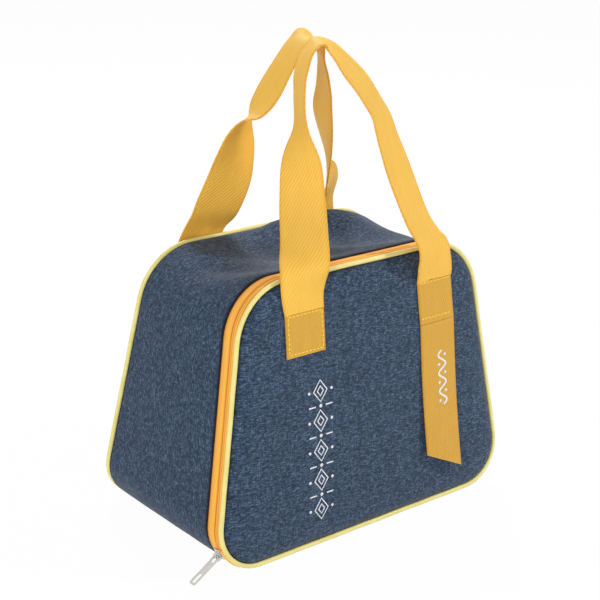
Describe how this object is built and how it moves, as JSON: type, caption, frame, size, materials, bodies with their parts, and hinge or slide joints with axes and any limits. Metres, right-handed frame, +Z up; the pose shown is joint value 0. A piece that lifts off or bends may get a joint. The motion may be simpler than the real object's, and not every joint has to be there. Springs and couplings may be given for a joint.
{
  "type": "insulated lunch bag",
  "caption": "Soft insulated lunch bag with a zip-round front panel that folds down, webbing carry handles and a hanging webbing tab.",
  "frame": {"origin": "middle of the flat base, on the surface that the bag stands on", "axes": "+Z up, +X to the right seen from the front, the zip-round front panel faces -Y"},
  "size_m": [0.2876, 0.1559, 0.3489],
  "materials": {
    "heather_fabric": "slubbed dark blue heather polyester",
    "foam": "closed-cell foam padding",
    "foil_liner": "silver foil-faced film",
    "binding": "woven seam binding",
    "piping": "pale yellow bias tape over a cord",
    "webbing": "yellow woven webbing",
    "zip_tape": "orange woven tape",
    "zip_coil": "orange nylon coil",
    "zip_metal": "bright nickel plate"
  },
  "bodies": {
    "bag": {"gusset_fabric": "heather_fabric", "gusset_foam": "foam", "gusset_liner": "foil_liner", "opening_binding": "binding", "base_fabric": "heather_fabric", "base_foam": "foam", "base_liner": "foil_liner", "rear_panel_fabric": "heather_fabric", "rear_panel_foam": "foam", "rear_panel_liner": "foil_liner", "rear_piping": "piping", "rear_binding": "binding", "body_zip_tape": "zip_tape", "body_zip_coil": "zip_coil", "zip_tape_end_left": "zip_tape", "zip_tape_end_right": "zip_tape", "zip_stop_left": "zip_metal", "zip_stop_right": "zip_metal", "rear_handle_left_end": "webbing", "rear_handle_right_end": "webbing"},
    "flap": {"front_panel_fabric": "heather_fabric", "front_panel_foam": "foam", "front_panel_liner": "foil_liner", "front_piping": "piping", "front_binding": "binding", "flap_zip_tape": "zip_tape", "flap_zip_coil": "zip_coil", "front_handle_left_end": "webbing", "front_handle_right_end": "webbing"},
    "front_handle": {"front_handle": "webbing"},
    "rear_handle": {"rear_handle": "webbing"},
    "tab": {"hanging_tab": "webbing"},
    "slider": {"zip_slider": "zip_metal"},
    "pull": {"zip_pull": "zip_metal"}
  },
  "joints": [
    {"name": "flap_open", "type": "hinge", "parent": "bag", "child": "flap", "pos_m": [0, -0.07305, 0.00237], "axis": [1, 0, 0], "range_deg": [0, 90]},
    {"name": "front_handle_fold", "type": "hinge", "parent": "flap", "child": "front_handle", "pos_m": [0.004, -0.06396, 0.17584], "axis": [1, 0, 0], "range_deg": [0, 115]},
    {"name": "rear_handle_fold", "type": "hinge", "parent": "bag", "child": "rear_handle", "pos_m": [0, 0.06396, 0.17584], "axis": [-1, 0, 0], "range_deg": [0, 115]},
    {"name": "tab_swing", "type": "hinge", "parent": "flap", "child": "tab", "pos_m": [0.067, -0.06684, 0.14367], "axis": [-1, 0, 0], "range_deg": [0, 60]},
    {"name": "slider_travel", "type": "hinge", "parent": "bag", "child": "slider", "pos_m": [-0.10111, -0.06297, 0.03125], "axis": [0, 0.9952, -0.0983], "range_deg": [0, 39]},
    {"name": "pull_swing", "type": "hinge", "parent": "slider", "child": "pull", "pos_m": [-0.13038, -0.06463, 0.01443], "axis": [0, 0.9952, -0.0983], "range_deg": [-80, 80]}
  ]
}
